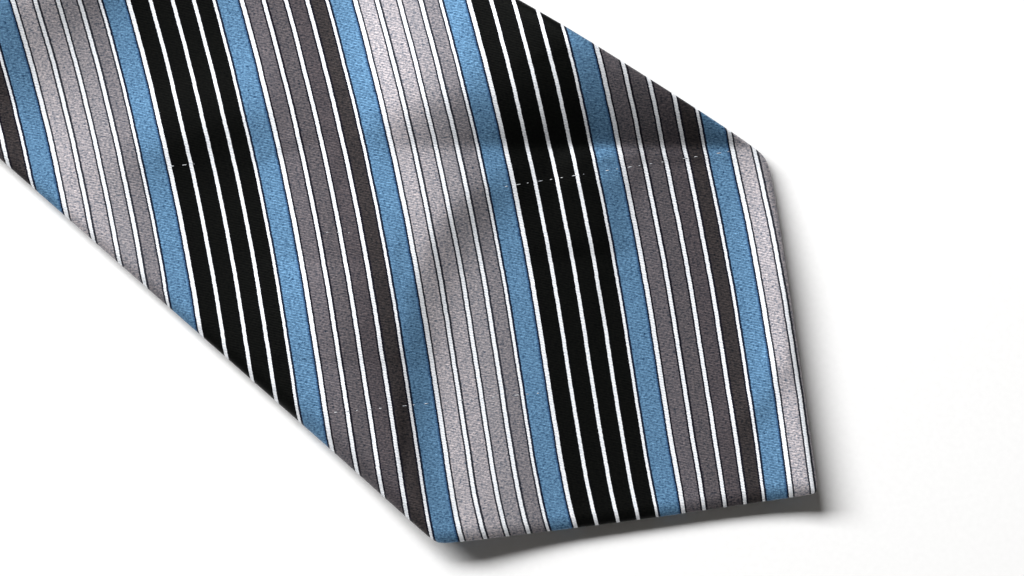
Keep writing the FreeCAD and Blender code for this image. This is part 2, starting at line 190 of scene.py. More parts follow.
# ---- folds and lifted edges ---------------------------------------------------------------
# "Over" and "up" are the view's two directions on the table, measured from the tip. The tie
# points DIAGONAL below "over".
DIAGONAL = math.radians(36.2)
FADE = (185.0, 222.0)      # nothing is lifted near the bend

# Each soft fold: three points (over, up) that its crest is drawn towards, how far it
# reaches to the left and the right of the crest on the way, and its height. FOLDS are
# raised in the face alone; WAVES raise the whole thickness.
FOLDS = [
    (((-48.0, 62.0), (-78.0, 62.0), (-77.5, 22.0)), 6.5, 24.0, 2.6),
    (((-78.5, 36.0), (-80.5, 8.0), (-70.5, -24.0)), 5.0, 9.0, 1.4),
    (((-90.0, 44.0), (-91.0, 18.0), (-82.0, -8.0)), 10.0, 16.0, 2.0),
    (((-60.0, 78.0), (-73.0, 74.5), (-87.0, 69.0)), 7.0, 20.0, 1.5),
    (((-42.0, 60.0), (-41.5, 52.0), (-41.0, 44.0)), 5.5, 14.0, 1.3),
    (((-32.0, 60.5), (-40.0, 61.5), (-50.0, 60.0)), 4.5, 3.5, 1.2),
    (((-98.0, 73.0), (-113.0, 71.0), (-131.0, 62.0)), 6.0, 9.0, 1.2),
    (((-126.0, 102.0), (-136.0, 95.5), (-148.0, 92.0)), 6.0, 9.0, 1.2),
    (((-2.5, 26.0), (-6.0, 24.5), (-11.0, 23.0)), 3.0, 6.0, 0.7),
    (((-5.0, 23.8), (-10.0, 18.0), (-16.5, 11.5)), 2.6, 4.0, 0.45),
]
WAVES = [
    (((-144.4, 105.3), (-153.3, 92.8), (-162.3, 80.3)), 14.0, 14.0, 3.8),
]
CREST_STEPS = 41           # places tried along each crest for the one nearest to a point
CREST_ENDS = (0.02, 0.98)  # a fold keeps a little of its height at its very ends

# A sharp pressed crease runs "over" at this place up, and the cloth past it tilts up. The
# tilt grows from one place over to the next, and its reach widens between two more.
CREASE_UP = 64.6
CREASE_GROWS = (-90.0, -44.0)
CREASE_SLOPE = 1.0
CREASE_REACH = (8.0, 15.0)
CREASE_WIDER = (-62.0, -40.0)
CREASE_SOFT = 0.35

# The low edge stands up a little, less so near the tip; the high edge only at the point.
LOW_LIFT, HIGH_LIFT = 1.2, 3.2
LOW_LIFT_GROWS = (-10.0, 30.0)
HIGH_LIFT_ENDS = (CORNER_HIGH - 18.0, CORNER_HIGH + 6.0)
EDGE_REACH = 7.0

# over, up, reach and height of the low corner's curl and the tip's
CURLS = [(-71.0, -9.0, 17.0, 3.2), (0.0, 0.0, 18.0, 0.9)]


def smooth(start, end, value):
    """From 0 at the start to 1 at the end, without a corner at either."""
    t = np.clip((value - start) / (end - start), 0.0, 1.0)
    return t * t * (3 - 2 * t)


def over_and_up(along, across):
    offset = across - TIP_OFFSET
    over = -math.cos(DIAGONAL) * along + math.sin(DIAGONAL) * offset
    up = math.sin(DIAGONAL) * along + math.cos(DIAGONAL) * offset
    return over, up


def bend_at(t, first, bend, last):
    """One coordinate of a curve from first to last, drawn towards bend, and its direction."""
    value = (1 - t) ** 2 * first + 2 * t * (1 - t) * bend + t * t * last
    return value, 2 * (1 - t) * (bend - first) + 2 * t * (last - bend)


def crests(folds, along, across):
    """The height of a set of folds."""
    over, up = over_and_up(along, across)
    total = np.zeros_like(over)
    for points, left, right, height in folds:
        overs, ups = zip(*points)
        nearest = np.full_like(over, np.inf)
        side, share = np.zeros_like(over), np.zeros_like(over)
        for t in np.linspace(0.0, 1.0, CREST_STEPS):
            o, do = bend_at(t, *overs)
            u, du = bend_at(t, *ups)
            distance = np.hypot(over - o, up - u)
            closer = distance < nearest
            nearest = np.where(closer, distance, nearest)
            side = np.where(closer, (over - o) * du - (up - u) * do, side)
            share = np.where(closer, t, share)
        reach = np.where(side > 0, right, left)
        ends = np.sqrt(np.sin(np.pi * np.clip(share, *CREST_ENDS)))
        total += height * np.exp(-(nearest / reach) ** 2) * ends
    return total * (1 - smooth(*FADE, along))


def lift(along, across):
    """How far the whole thickness stands off the table."""
    from_low, from_high = edge_distance(along, across)
    over, up = over_and_up(along, across)
    edges = LOW_LIFT * np.exp(-from_low / EDGE_REACH) * smooth(*LOW_LIFT_GROWS, along)
    at_point = 1 - smooth(*HIGH_LIFT_ENDS, along)
    edges = edges + HIGH_LIFT * np.exp(-from_high / EDGE_REACH) * at_point
    for o, u, reach, height in CURLS:
        edges = edges + height * np.exp(-((over - o) ** 2 + (up - u) ** 2) / reach ** 2)
    past = up - CREASE_UP
    past = (past + np.sqrt(past ** 2 + CREASE_SOFT ** 2)) / 2
    reach = CREASE_REACH[0] + (CREASE_REACH[1] - CREASE_REACH[0]) * smooth(*CREASE_WIDER, over)
    tilt = CREASE_SLOPE * reach * (1 - np.exp(-past / reach))
    raised = edges + tilt * smooth(*CREASE_GROWS, over)
    return raised * (1 - smooth(*FADE, along)) + crests(WAVES, along, across)


# ---- the back opening ---------------------------------------------------------------------
HEM = 8.0
OPENING_CORNER = 54.0
OPENING_APEX = 124.0
TAIL_HEM = 5.0
TAIL_SIDE = 1448.0
TAIL_APEX = 1400.0
SEAM_HALF = 0.15           # the folded back flaps almost touch
SEAM_DEPTH = 0.3
SEAM_BREADTH = 0.8
SEAM_FADE = 4.0            # over which the seam's groove ends at each opening
PLY = 0.35                 # one thickness of shell cloth
LOOP_ALONG = 150.0
LOOP_BREADTH = 14.0
LOOP_SPAN = 46.0
LOOP_RECESS = 0.75
RECESS_EDGE = (0.3, 2.5)   # beside the loop, where its recess ends

# ---- the thickness ------------------------------------------------------------------------
EDGE_ROUND = 2.8           # how far in the pressed edge starts to round over
EDGE_POWER = 0.5
CROWN = 0.35               # how much fuller the face is in its middle
CROWN_REACH = 15.0
FOLD_MARGIN = 3.0          # folds in the face die out towards an edge


def half_thickness(along, across):
    """Half the tie's thickness, down to nothing at the pressed edge."""
    nearest = np.minimum(*edge_distance(along, across))
    t = 1 - np.clip(nearest / EDGE_ROUND, 0.0, 1.0)
    return THICKNESS / 2 * np.maximum(1 - t * t, 0.0) ** EDGE_POWER


def face_height(along, across):
    nearest = np.minimum(*edge_distance(along, across))
    crown = CROWN * (1 - np.exp(-nearest / CROWN_REACH))
    folds = (1 - np.exp(-nearest / FOLD_MARGIN)) * crests(FOLDS, along, across)
    return THICKNESS / 2 + half_thickness(along, across) + crown + folds


def back_height(along, across):
    """Flat on the table, but drawn in at the seam and pushed in by the keeper loop."""
    closed = smooth(OPENING_APEX, OPENING_APEX + SEAM_FADE, along)
    closed = closed * (1 - smooth(TAIL_APEX - SEAM_FADE, TAIL_APEX, along))
    seam = SEAM_DEPTH * np.exp(-(across / SEAM_BREADTH) ** 2) * closed
    past_side, past_end = np.abs(along - LOOP_ALONG) - LOOP_BREADTH / 2, np.abs(across) - LOOP_SPAN / 2
    recess = LOOP_RECESS * (1 - smooth(*RECESS_EDGE, np.maximum(past_side, past_end)))
    return THICKNESS / 2 - half_thickness(along, across) + np.maximum(seam, recess)


def place(along, across, height):
    """Flat layout to the tie's real place, in metres."""
    x, z, nx, nz = base_and_normal(along)
    raised = lift(along, across)
    return np.stack([(x + nx * height) * MM, across * MM, (z + nz * height + raised) * MM], axis=-1)


# ---- how the stripes lie in the cloth -----------------------------------------------------
SLANT_START = 30.0         # the weave leans more and more beyond this, going up
SLANT_RATE = 0.001
SLANT_FADE = (200.0, 300.0)
EDGE_DRAWN = 1.0           # it is drawn over along the point's low side
DRAWN_REACH = 6.0
DRAWN_GROWS = (5.0, 35.0)
DRAWN_ENDS = (40.0, 60.0)
TIP_DRAWN = 0.4            # and the other way at the tip
TIP_REACH = 14.0


def cut(along, across, cloth_across):
    """Place in the bias-cut cloth: square to the stripes, and along them."""
    up = over_and_up(along, across)[1]
    lean = SLANT_RATE * np.maximum(up - SLANT_START, 0.0) ** 2 * (1 - smooth(*SLANT_FADE, along))
    from_low = edge_distance(along, across)[0]
    drawn = EDGE_DRAWN * np.exp(-from_low / DRAWN_REACH) * smooth(*DRAWN_GROWS, along)
    drawn = drawn * (1 - smooth(*DRAWN_ENDS, along))
    drawn = drawn - TIP_DRAWN * np.exp(-(along ** 2 + across ** 2) / TIP_REACH ** 2)
    square = (-along + cloth_across) / math.sqrt(2) + lean - drawn
    run = (along + cloth_across) / math.sqrt(2)
    return np.stack([square, run, np.zeros_like(square)], axis=-1)


# ---- mesh work ----------------------------------------------------------------------------
WELD = 0.000005            # metres
FLAT_STEP = 1.0            # between rows of points
ROLL_STEP = 2.2
TIP_ROWS, TIP_GROWTH = 12, 0.05
TAIL_ROWS = np.array([4.8, 3.8, 2.9, 2.1, 1.4, 0.8, 0.35, 0.0])   # short of the tail's tip
EVEN_SHARE = 0.35          # of a row's spacing; the rest crowds towards both edges

# how far past the flap's edge, and how high above its outside, its folded edge goes
FLAP_FOLD = ((0.05, 0.12), (0.05, 0.26), (-0.1, PLY), (-2.5, PLY))


class Cloth:
    """Collects grids of points, each with its place in the cloth, into one mesh."""

    def __init__(self, name):
        self.name = name
        self.points, self.cuts, self.faces = [], [], []
        self.count = 0

    def grid(self, points, cuts, flip=False):
        rows, columns = points.shape[:2]
        index = np.arange(rows * columns).reshape(rows, columns) + self.count
        a, b = index[:-1, :-1].ravel(), index[:-1, 1:].ravel()
        c, d = index[1:, 1:].ravel(), index[1:, :-1].ravel()
        quads = np.stack([d, c, b, a] if flip else [a, b, c, d], axis=-1)
        self.faces.extend(quads.tolist())
        self.points.append(points.reshape(-1, 3))
        self.cuts.append(cuts.reshape(-1, 3))
        self.count += rows * columns

    def make(self):
        mesh = bpy.data.meshes.new(self.name)
        mesh.from_pydata(np.concatenate(self.points).tolist(), [], self.faces)
        layer = mesh.attributes.new("cut", "FLOAT_VECTOR", "POINT")
        layer.data.foreach_set("vector", np.concatenate(self.cuts).astype(np.float32).ravel())
        work = bmesh.new()
        work.from_mesh(mesh)
        bmesh.ops.remove_doubles(work, verts=work.verts, dist=WELD)
        bmesh.ops.dissolve_degenerate(work, edges=work.edges, dist=WELD)
        work.to_mesh(mesh)
        work.free()
        mesh.polygons.foreach_set("use_smooth", [True] * len(mesh.polygons))
        obj = bpy.data.objects.new(self.name, mesh)
        bpy.context.scene.collection.objects.link(obj)
        return obj


def places_along(start, end, step):
    return np.linspace(start, end, max(2, int(round((end - start) / step)) + 1))


def cloth_rows(start, end):
    """Close together at a point, closer on the flat blade than in the roll."""
    near = [TIP_ROUND + 0.001 + TIP_GROWTH * k * k for k in range(TIP_ROWS)]
    rows = [near] if start <= 0 else []
    first = near[-1] + 0.8 if start <= 0 else start
    if first < FLAT_LENGTH:
        rows.append(places_along(first, min(end, FLAT_LENGTH), FLAT_STEP))
        first = FLAT_LENGTH + 1.3
    if end >= LENGTH:
        rows.append(places_along(first, LENGTH - 6.0, ROLL_STEP))
        rows.append(LENGTH - 0.05 - TAIL_ROWS)
    elif end > first:
        rows.append(places_along(first, end, ROLL_STEP))
    return np.concatenate(rows)


def spread(count):
    """From 0 to 1, closer together at both ends."""
    t = np.linspace(0.0, 1.0, count)
    return EVEN_SHARE * t + (1 - EVEN_SHARE) * (1 - np.cos(np.pi * t)) / 2


def flap_edge(along, side):
    """Where a back flap ends, going in from the low (-1) or high (+1) side."""
    hem_tip = HEM * math.sqrt(2)
    wide = BLADE_WIDTH / 2 - HEM
    tail_tip = LENGTH - TAIL_HEM * math.sqrt(2)
    tail_wide = TAIL_WIDTH / 2 - TAIL_HEM
    stations = [0.0, hem_tip, OPENING_CORNER, OPENING_APEX, TAIL_APEX, TAIL_SIDE, tail_tip, LENGTH]
    opened = [0.0, 0.0, wide, 0.0, 0.0, tail_wide, 0.0, 0.0]
    middle = np.interp(along, [0.0, hem_tip, OPENING_CORNER], [TIP_OFFSET, TIP_OFFSET, 0.0])
    return middle + side * (np.interp(along, stations, opened) + SEAM_HALF)


def add_face(cloth, rows, columns):
    s = rows[:, None] * np.ones(columns)
    low, high = low_edge(rows)[:, None], high_edge(rows)[:, None]
    v = low + (high - low) * spread(columns)[None, :]
    cloth.grid(place(s, v, face_height(s, v)), cut(s, v, v))


def add_flap(cloth, rows, columns, side):
    """One turned-under side of the shell, with its folded inner edge."""
    s = rows[:, None] * np.ones(columns)
    outer = (low_edge(rows) if side < 0 else high_edge(rows))[:, None]
    inner = flap_edge(rows, side)[:, None]
    inner = np.maximum(inner, outer) if side < 0 else np.minimum(inner, outer)
    v = outer + (inner - outer) * (1 - np.cos(np.pi / 2 * np.linspace(0.0, 1.0, columns)))[None, :]
    height = back_height(s, v)
    for shift, level in FLAP_FOLD:
        s = np.concatenate([s, rows[:, None]], axis=1)
        edge = inner - side * shift
        edge = np.maximum(edge, outer) if side < 0 else np.minimum(edge, outer)
        v = np.concatenate([v, edge], axis=1)
        height = np.concatenate([height, height[:, columns - 1:columns] + level], axis=1)
    cloth.grid(place(s, v, height), cut(s, v, 2 * outer - v), flip=side < 0)


def make_shell(name, start, end, columns):
    cloth = Cloth(name)
    rows = cloth_rows(start, end)
    add_face(cloth, rows, columns)
    add_flap(cloth, rows, columns // 2, -1)
    add_flap(cloth, rows, columns // 2, 1)
    return cloth.make()


def edge_profile(distance, reach):
    """From 0 at an edge to 1 where the full thickness is reached."""
    t = 1 - np.clip(distance / reach, 0.0, 1.0)
    return np.sqrt(np.maximum(1 - t * t, 0.0))


def add_closed(cloth, s, v, distance, bottom, top, reach, cuts):
    """A closed thin body: its upper and lower sides meet at mid height along the rim."""
    middle, half = (top + bottom) / 2, (top - bottom) / 2
    profile = edge_profile(distance, reach)
    cloth.grid(place(s, v, middle + half * profile), cuts)
    cloth.grid(place(s, v, middle - half * profile), cuts, flip=True)


def make_layer(name, start, end, inset, bottom, top, step, columns, reach):
    """An inner layer of the tie, which follows its outline at an inset."""
    cloth = Cloth(name)
    rows = places_along(start, end, step)
    s = rows[:, None] * np.ones(columns)
    low, high = (low_edge(rows) + inset)[:, None], (high_edge(rows) - inset)[:, None]
    middle = (low + high) / 2
    low, high = np.minimum(low, middle), np.maximum(high, middle)
    v = low + (high - low) * spread(columns)[None, :]
    distance = np.minimum(np.minimum(v - low, high - v), np.minimum(s - start, end - s))
    upper = top(s, v) if callable(top) else top + 0 * s
    add_closed(cloth, s, v, distance, bottom + 0 * s, upper, reach, cut(s, v, v))
    return cloth.make()


PATCH_STEP = 0.7
PATCH_ROWS = 8             # at least so many rows of points each way
PATCH_RIM = 0.25
SEWN_END = (1.0, 6.0)      # from a patch's sewn end, where it comes down to its own level


def patch_places(start, end):
    return start + (end - start) * spread(max(PATCH_ROWS, int((end - start) / PATCH_STEP)))


def make_patch(name, start, end, low, high, bottom, top, ends=0.0):
    """A rectangle of cloth on the back; ends raises its two sewn ends, across the tie."""
    cloth = Cloth(name)
    s, v = np.meshgrid(patch_places(start, end), patch_places(low, high), indexing="ij")
    from_end = np.minimum(v - low, high - v)
    distance = np.minimum(from_end, np.minimum(s - start, end - s))
    rise = ends * (1 - smooth(*SEWN_END, from_end))
    turned = np.stack([v, s, np.zeros_like(s)], axis=-1)
    add_closed(cloth, s, v, distance, bottom + rise, top + rise, PATCH_RIM, turned)
    return cloth.make()


THREAD_SIDES, THREAD_STEPS = 6, 7
THREAD_END = 0.35          # how thick a stitch is at its ends, as a share of its middle


def add_stitch(cloth, ends, heights, radius, rise):
    """A short round thread, thinner where it enters the cloth; rise lifts its middle."""
    (s0, v0), (s1, v1) = ends
    t = np.linspace(0.0, 1.0, THREAD_STEPS)
    along, across = s0 + (s1 - s0) * t, v0 + (v1 - v0) * t
    height = heights[0] + (heights[1] - heights[0]) * t + rise * np.sin(np.pi * t)
    thick = radius * (THREAD_END + (1 - THREAD_END) * np.sin(np.pi * t) ** 0.5)
    length = math.hypot(s1 - s0, v1 - v0)
    side_s, side_v = -(v1 - v0) / length, (s1 - s0) / length
    turn = np.linspace(0.0, 2 * np.pi, THREAD_SIDES + 1)
    s = along[:, None] + side_s * thick[:, None] * np.cos(turn)[None, :]
    v = across[:, None] + side_v * thick[:, None] * np.cos(turn)[None, :]
    h = height[:, None] + thick[:, None] * np.sin(turn)[None, :]
    cuts = np.stack([s, v, h], axis=-1)
    cloth.grid(place(s, v, h), cuts)


# ---- materials ----------------------------------------------------------------------------
def linear(red, green, blue):
    """A colour as it is seen, 0 to 255, to what a shader takes."""
    def channel(value):
        value /= 255.0
        return value / 12.92 if value <= 0.04045 else ((value + 0.055) / 1.055) ** 2.4
    return channel(red), channel(green), channel(blue), 1.0


class Shader:
    """A material's node tree, with short ways to add to it."""

    def __init__(self, name):
        self.material = bpy.data.materials.new(name)
        self.material.use_nodes = True
        self.tree = self.material.node_tree
        self.surface = self.tree.nodes["Principled BSDF"]

    def put(self, socket, value):
        if isinstance(value, bpy.types.NodeSocket):
            self.tree.links.new(value, socket)
        elif value is not None:
            socket.default_value = value

    def node(self, kind, *values, **settings):
        node = self.tree.nodes.new(kind)
        for key, value in settings.items():
            setattr(node, key, value)
        for socket, value in zip(node.inputs, values):
            self.put(socket, value)
        return node

    def math(self, operation, *values):
        return self.node("ShaderNodeMath", *values, operation=operation).outputs[0]

    def plus(self, a, b):
        return self.math("ADD", a, b)

    def minus(self, a, b):
        return self.math("SUBTRACT", a, b)

    def times(self, a, b):
        return self.math("MULTIPLY", a, b)

    def wave(self, place, pitch):
        """From -1 to 1 and back, once in each pitch."""
        return self.math("SINE", self.times(place, 2 * math.pi / pitch))

    def cut(self):
        """Sockets of the place in the cloth: square to the stripes, and along them."""
        attribute = self.node("ShaderNodeAttribute", attribute_name="cut")
        split = self.node("ShaderNodeSeparateXYZ", attribute.outputs["Vector"])
        return split.outputs[0], split.outputs[1], split.outputs[2]

    def vector(self, x, y, z=0.0):
        return self.node("ShaderNodeCombineXYZ", x, y, z).outputs[0]

    def noise(self, vector, scale, detail=2.0, roughness=0.5):
        node = self.node("ShaderNodeTexNoise")
        self.put(node.inputs["Vector"], vector)
        node.inputs["Scale"].default_value = scale
        node.inputs["Detail"].default_value = detail
        node.inputs["Roughness"].default_value = roughness
        return node.outputs["Fac"]

    def mix(self, factor, a, b, blend="MIX"):
        node = self.node("ShaderNodeMix", data_type="RGBA", blend_type=blend)
        self.put(node.inputs["Factor"], factor)
        self.put(node.inputs["A"], a)
        self.put(node.inputs["B"], b)
        return node.outputs["Result"]

    def ramp(self, factor, stops, interpolation="CONSTANT"):
        node = self.node("ShaderNodeValToRGB", factor)
        node.color_ramp.interpolation = interpolation
        elements = node.color_ramp.elements
        while len(elements) > 1:
            elements.remove(elements[-1])
        elements[0].position, elements[0].color = stops[0]
        for position, colour in stops[1:]:
            elements.new(position).color = colour
        return node.outputs["Color"], node.outputs["Alpha"]

    def bump(self, height, strength, distance):
        node = self.node("ShaderNodeBump")
        node.inputs["Strength"].default_value = strength
        node.inputs["Distance"].default_value = distance
        self.put(node.inputs["Height"], height)
        self.put(self.surface.inputs["Normal"], node.outputs["Normal"])

    def set(self, **values):
        for name, value in values.items():
            self.put(self.surface.inputs[name.replace("_", " ")], value)


# Widths across the stripes. Each group has five white pins with bands between them, then a
# blue band; three groups, of dark grey, light grey and black bands, make the full repeat.
GROUP = 20.85
PINS = [1.0, 5.03, 9.09, 13.01, 16.69]
PIN_WIDTHS = [0.70, 0.67, 0.67, 0.67, 0.50]
LINE = 0.34                # dark line on each side of a pin
FIRST_GROUP = -24.25 - PINS[0]

BLUE_SHADE_LINES = 1.8     # where the blue band darkens beside the first pin, in dark lines

PIN_GRAIN = 0.3            # the share of the grain that shows in the pins, kept as their alpha
PIN_WHITE = (*linear(238, 241, 246)[:3], PIN_GRAIN)
BLUE = linear(92, 130, 163)
BLUE_SHADE = linear(66, 100, 138)
NAVY = linear(24, 34, 54)
DARK_GREYS = [linear(99, 95, 100), linear(89, 85, 89), linear(79, 74, 78), linear(56, 52, 53)]
LIGHT_GREYS = [linear(167, 163, 168), linear(158, 154, 159),
               linear(143, 140, 145), linear(124, 121, 126)]
BLACKS = [linear(10, 11, 10)] * 4
DARK_LINE, LIGHT_LINE, BLACK_LINE = linear(26, 25, 34), linear(46, 48, 56), linear(9, 10, 12)

RIB = 0.30                 # from one rib of the silk to the next, along the stripes
RAGGED = 0.06              # how far each rib shifts the stripes' edges
SWAY_SCALE, SWAY = 0.11, 0.25                # and how the stripes wander
GRAIN = (6.6, 5.8, 5.0)    # how strongly the threads vary in red, green and blue
STREAKS = (1.4, 4.2)       # per mm, square to the stripes and along them
SPECK_SCALE, COARSE_SCALE = 2.4, 0.35
COARSE_SHARE = 0.05
RIB_SHARE = 0.2            # of the ribs in the relief, beside the grain


def stripe_stops(bands, line):
    """The colours across one group, each with the place where it starts."""
    stops = [(0.0, BLUE)]
    for k, (centre, width) in enumerate(zip(PINS, PIN_WIDTHS)):
        first, last = k == 0, k == len(PINS) - 1
        if first:
            stops.append((centre - width / 2 - BLUE_SHADE_LINES * LINE, BLUE_SHADE))
        stops.append((centre - width / 2 - LINE, NAVY if first else line))
        stops.append((centre - width / 2, PIN_WHITE))
        stops.append((centre + width / 2, NAVY if last else line))
        stops.append((centre + width / 2 + LINE, BLUE if last else bands[k]))
    return [(position / GROUP, colour) for position, colour in stops]


def striped_silk():
    """Ribbed satin, woven in stripes, with slightly uneven threads."""
    shader = Shader("striped_silk")
    square, run, _ = shader.cut()
    cloth = shader.vector(square, run)
    ragged = shader.node("ShaderNodeTexWhiteNoise", noise_dimensions="1D")
    shader.put(ragged.inputs["W"], shader.math("FLOOR", shader.math("DIVIDE", run, RIB)))
    shift = shader.times(shader.minus(ragged.outputs["Value"], 0.5), RAGGED)
    sway = shader.times(shader.minus(shader.noise(cloth, SWAY_SCALE), 0.5), SWAY)
    wandered = shader.plus(shader.plus(square, shift), sway)
    wrapped = shader.math("FLOORED_MODULO", shader.minus(wandered, FIRST_GROUP), 3 * GROUP)
    groups = shader.math("DIVIDE", wrapped, GROUP)
    group, part = shader.math("FLOOR", groups), shader.math("FRACT", groups)
    dark, grained = shader.ramp(part, stripe_stops(DARK_GREYS, DARK_LINE))
    light, _ = shader.ramp(part, stripe_stops(LIGHT_GREYS, LIGHT_LINE))
    black, _ = shader.ramp(part, stripe_stops(BLACKS, BLACK_LINE))
    colour = shader.mix(shader.math("GREATER_THAN", group, 0.5), dark, light)
    colour = shader.mix(shader.math("GREATER_THAN", group, 1.5), colour, black)
    stretched = shader.vector(shader.times(square, STREAKS[0]), shader.times(run, STREAKS[1]))
    streaks = shader.noise(stretched, 1.0, 3.0, 0.75)
    specks = shader.noise(cloth, SPECK_SCALE, 3.0, 0.7)
    coarse = shader.times(shader.minus(shader.noise(cloth, COARSE_SCALE), 0.5), COARSE_SHARE)
    fine = shader.plus(shader.times(streaks, 0.5), shader.times(specks, 0.5))
    grain = shader.times(shader.plus(shader.minus(fine, 0.5), coarse), grained)
    tones = [shader.plus(shader.times(grain, strength), 1.0) for strength in GRAIN]
    colour = shader.mix(1.0, colour, shader.vector(*tones), "MULTIPLY")
    height = shader.plus(shader.times(shader.wave(run, RIB), RIB_SHARE), fine)
    shader.bump(height, 0.7, 0.00008)
    shader.set(Base_Color=colour, Roughness=0.58, Metallic=0.45)
    shader.surface.inputs["Specular IOR Level"].default_value = 0.06
    shader.surface.inputs["Sheen Weight"].default_value = 0.02
    shader.surface.inputs["Sheen Roughness"].default_value = 0.4
    return shader.material


def plain_satin(name, colour, light, rib, roughness=0.45, sheen=0.2):
    """A plain fine cloth: two tones of one colour, with diagonal ribs."""
    shader = Shader(name)
    square, run, _ = shader.cut()
    diagonal = shader.plus(shader.times(square, 0.6), run)
    fine = shader.noise(shader.vector(shader.times(square, 3.0), run), 1.2, 3.0, 0.65)
    factor = shader.plus(shader.times(shader.wave(diagonal, rib), 0.15), fine)
    tone = shader.mix(factor, colour, light)
    shader.bump(factor, 0.5, 0.00005)
    shader.set(Base_Color=tone, Roughness=roughness)
    shader.surface.inputs["Sheen Weight"].default_value = sheen
    return shader.material


LABEL_BORDER = 1.3         # of the border line's middle from the label's edge
LABEL_LINE = 0.22          # half its width
LABEL_WEFT, LABEL_WARP = 0.35, 0.3


def woven_label(name, ground, border, start, end, low, high):
    """A blank damask label with a woven border line; its places are across, then along."""
    shader = Shader(name)
    across, along, _ = shader.cut()
    near_side = shader.math("MINIMUM", shader.minus(across, low), shader.minus(high, across))
    near_end = shader.math("MINIMUM", shader.minus(along, start), shader.minus(end, along))
    from_border = shader.minus(shader.math("MINIMUM", near_side, near_end), LABEL_BORDER)
    line = shader.math("LESS_THAN", shader.math("ABSOLUTE", from_border), LABEL_LINE)
    weave = shader.times(shader.wave(along, LABEL_WEFT), shader.wave(across, LABEL_WARP))
    fine = shader.noise(shader.vector(across, along), 3.0, 3.0)
    tone = shader.plus(shader.times(fine, 0.3), 0.82)
    colour = shader.mix(line, ground, border)
    colour = shader.mix(1.0, colour, shader.vector(tone, tone, tone), "MULTIPLY")
    shader.bump(shader.plus(weave, fine), 0.4, 0.00005)
    shader.set(Base_Color=colour, Roughness=0.5)
    return shader.material


TWIST = 22.0               # of a thread's plies, in radians per mm


def twisted_thread(name, colour, shade):
    """A plied thread, of two tones of one colour."""
    shader = Shader(name)
    a, b, c = shader.cut()
    turned = shader.times(shader.plus(shader.plus(a, b), c), TWIST)
    twist = shader.math("SINE", turned)
    factor = shader.plus(shader.times(twist, 0.4), 0.5)
    shader.bump(twist, 0.4, 0.00003)
    shader.set(Base_Color=shader.mix(factor, shade, colour), Roughness=0.45)
    return shader.material


def white_board():
    """The table's matt white top."""
    shader = Shader("white_board")
    position = shader.node("ShaderNodeTexCoord").outputs["Object"]
    grain = shader.noise(position, 900.0, 3.0)
    tone = shader.mix(grain, (0.90, 0.90, 0.90, 1.0), (0.96, 0.96, 0.96, 1.0))
    shader.bump(grain, 0.05, 0.00005)
    shader.set(Base_Color=tone, Roughness=0.9)
    return shader.material


SILK = striped_silk()
TIPPING = plain_satin("tipping_satin", linear(38, 46, 62), linear(66, 78, 98), 0.5)
WOOL = plain_satin("interlining_wool", linear(214, 208, 192), linear(240, 236, 224), 0.9,
                   roughness=0.9, sheen=0.1)
WHITE_THREAD = twisted_thread("white_thread", linear(236, 238, 240), linear(178, 182, 190))
BLUE_THREAD = twisted_thread("blue_thread", linear(116, 152, 190), linear(62, 92, 128))


def dress(obj, material):
    obj.data.materials.clear()
    obj.data.materials.append(material)
    return obj


SEAM_SHARE = 0.3           # the shell cloths stop so far short of a joining seam


def bends(obj):
    """One piece over both bodies, shaped round the foot of the flat end; only its place is baked into its
    points.
    """
    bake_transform(obj)


def make_shells():
    blade = make_shell("blade_cloth", 0.0, FRONT_SEAM - SEAM_SHARE, 110)
    neck = make_shell("neck_cloth", FRONT_SEAM + SEAM_SHARE, REAR_SEAM - SEAM_SHARE, 36)
    tail = make_shell("tail_cloth", REAR_SEAM + SEAM_SHARE, LENGTH, 40)
    for obj in (blade, neck, tail):
        dress(obj, SILK)
    bends(blade)
    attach(neck, "roll")
    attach(tail, "roll")
    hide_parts("blade_shell", "rolled_blade_shell")
    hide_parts("neck_shell")
    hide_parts("tail_shell")


PADDING_BACK = 0.95
PADDING_DEPTH = 0.7        # of its top under the face
PADDING_LEAST = 0.3
PADDING_INSET = 1.8
PADDING_RIM = 0.8


def padding_top(along, across):
    return np.maximum(face_height(along, across) - PADDING_DEPTH, PADDING_BACK + PADDING_LEAST)


def make_padding(name, start, end, step, columns):
    obj = make_layer(name, start, end, PADDING_INSET, PADDING_BACK, padding_top, step, columns,
                     PADDING_RIM)
    return dress(obj, WOOL)


def make_interlinings():
    front = make_padding("front_interlining", 3.0, REAR_SEAM, 1.5, 40)
    tail = make_padding("back_interlining", REAR_SEAM + 0.5, LENGTH - 5.0, 3.0, 20)
    bends(front)
    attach(tail, "roll")
    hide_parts("blade_interlining", "rolled_interlining")
    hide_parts("tail_interlining")


TIPPING_LEVELS = (0.6, 0.8)
TIPPING_STEP, TIPPING_RIM = 1.5, 0.2

# Each lining: where it starts and ends along the tie, its breadth and length as a flat
# piece, and its share of the tie's outline there.
BLADE_LINING = (5.0, 134.0, 88.0, 130.0, 0.92)
TAIL_LINING = (1392.0, LENGTH - 5.0, 42.0, 82.0, 0.86)


def make_tipping(name, body, node, start, end, inset, columns):
    obj = make_layer(name, start, end, inset, *TIPPING_LEVELS, TIPPING_STEP, columns, TIPPING_RIM)
    dress(obj, TIPPING)
    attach(obj, body)
    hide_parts(node)
    return obj


def make_tippings():
    start, end, breadth, length, share = BLADE_LINING
    blade = make_tipping("blade_lining", "blade", "blade_tipping", start, end, 3.5, 40)
    start, end, breadth, length, share = TAIL_LINING
    tail = make_tipping("tail_lining", "roll", "tail_tipping", start, end, 3.0, 24)


